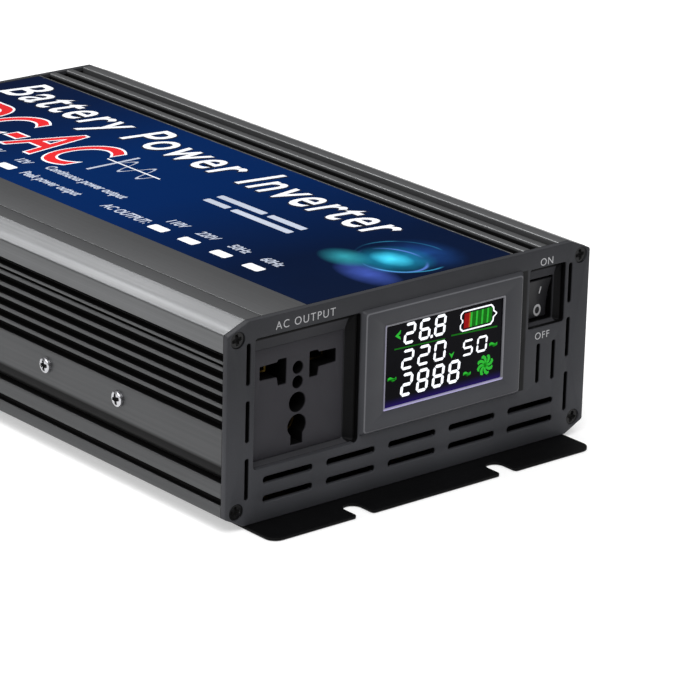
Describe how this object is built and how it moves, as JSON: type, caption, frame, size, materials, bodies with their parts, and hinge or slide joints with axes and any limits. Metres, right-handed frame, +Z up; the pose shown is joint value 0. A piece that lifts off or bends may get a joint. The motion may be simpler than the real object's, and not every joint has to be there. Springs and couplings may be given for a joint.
{
  "type": "power inverter",
  "caption": "Boxy power inverter: ribbed metal case, universal socket, lit display, rocker switch, cooling fan, screw terminals and notched base plate.",
  "frame": {"origin": "centre of the base plate's underside, on the surface the inverter stands on", "axes": "X is the width, -Y points out of the front panel with the socket, +Y out of the fan end, +Z is up"},
  "size_m": [0.1538, 0.3032, 0.0676],
  "materials": {
    "anodised_grey": "satin anodised extrusion",
    "base_black": "black powder coat on steel sheet",
    "black_screw": "blackened steel screws",
    "bright_screw": "nickel plated",
    "label_film": "glossy printed film",
    "panel_grey": "fine textured dark grey",
    "socket_grey": "fine textured dark grey",
    "bezel_grey": "satin dark grey",
    "window_clear": "polished clear lens",
    "display_black": "black display face with lit segments",
    "switch_black": "satin black",
    "rocker_black": "smooth black",
    "brass": "bare machined brass",
    "copper": "bare copper",
    "board_green": "green solder mask",
    "fan_black": "moulded black",
    "guard_wire": "plated wire",
    "terminal_red": "moulded red",
    "terminal_black": "moulded black",
    "chip_black": "moulded epoxy",
    "pad_grey": "silicone pad",
    "bar_steel": "zinc plated bar",
    "ferrite": "sintered ferrite",
    "winding_tape": "yellow tape over copper turns",
    "capacitor_sleeve": "shrink sleeve",
    "choke_coating": "coated powder core",
    "fuse_green": "tinted plastic fuse body"
  },
  "bodies": {
    "casing": {"base_plate": "base_black", "base_screws": "black_screw", "body_shell": "anodised_grey", "top_cover": "anodised_grey", "top_label": "label_film", "front_panel": "panel_grey", "front_screws": "black_screw", "side_screws_left": "bright_screw", "side_screws_right": "bright_screw", "socket_housing": "socket_grey", "socket_contacts": "brass", "lcd_bezel": "bezel_grey", "lcd_window": "window_clear", "lcd_module": "display_black", "lcd_board": "board_green", "lcd_screws": "bar_steel", "switch_housing": "switch_black", "switch_terminals": "brass", "rear_panel": "panel_grey", "rear_screws": "black_screw", "fan_frame": "fan_black", "fan_stator": "copper", "fan_guard": "guard_wire", "fan_screws": "black_screw", "terminal_base_red": "terminal_red", "terminal_base_black": "terminal_black", "terminal_studs": "brass", "terminal_nuts": "brass", "earth_screw": "bright_screw", "earth_nut": "bright_screw", "busbar_positive": "copper", "busbar_negative": "copper", "main_board": "board_green", "board_standoffs": "brass", "board_screws": "bar_steel", "mosfets_left": "chip_black", "mosfets_right": "chip_black", "insulating_pads": "pad_grey", "clamp_bar_left": "bar_steel", "clamp_bar_right": "bar_steel", "transformer_cores": "ferrite", "transformer_windings": "winding_tape", "input_capacitors": "capacitor_sleeve", "bus_capacitors": "capacitor_sleeve", "choke_core": "choke_coating", "choke_winding": "copper", "control_board": "board_green", "fuse_holders": "chip_black", "blade_fuses": "fuse_green"},
    "rocker": {"switch_rocker": "rocker_black"},
    "fan": {"fan_rotor": "fan_black"},
    "red_washer": {"washer_red": "brass"},
    "red_knob": {"knob_red": "terminal_red"},
    "black_washer": {"washer_black": "brass"},
    "black_knob": {"knob_black": "terminal_black"}
  },
  "joints": [
    {"name": "rocker_hinge", "type": "hinge", "parent": "casing", "child": "rocker", "pos_m": [0.0569, -0.124, 0.049], "axis": [-1, 0, 0], "range_deg": [0, 19]},
    {"name": "fan_spin", "type": "hinge", "parent": "casing", "child": "fan", "pos_m": [0, 0.12, 0.0341], "axis": [0, 1, 0], "continuous": true},
    {"name": "red_knob_turn", "type": "hinge", "parent": "casing", "child": "red_washer", "pos_m": [-0.048, 0.138, 0.036], "axis": [0, 1, 0], "range_deg": [0, 1440]},
    {"name": "red_knob_travel", "type": "slide", "parent": "red_washer", "child": "red_knob", "axis": [0, 1, 0], "range_m": [0, 0.005]},
    {"name": "black_knob_turn", "type": "hinge", "parent": "casing", "child": "black_washer", "pos_m": [0.048, 0.138, 0.036], "axis": [0, 1, 0], "range_deg": [0, 1440]},
    {"name": "black_knob_travel", "type": "slide", "parent": "black_washer", "child": "black_knob", "axis": [0, 1, 0], "range_m": [0, 0.005]}
  ],
  "couplings": [
    {"joint": "red_knob_travel", "follows": "red_knob_turn", "m_per_rad": 0.00019894},
    {"joint": "black_knob_travel", "follows": "black_knob_turn", "m_per_rad": 0.00019894}
  ]
}
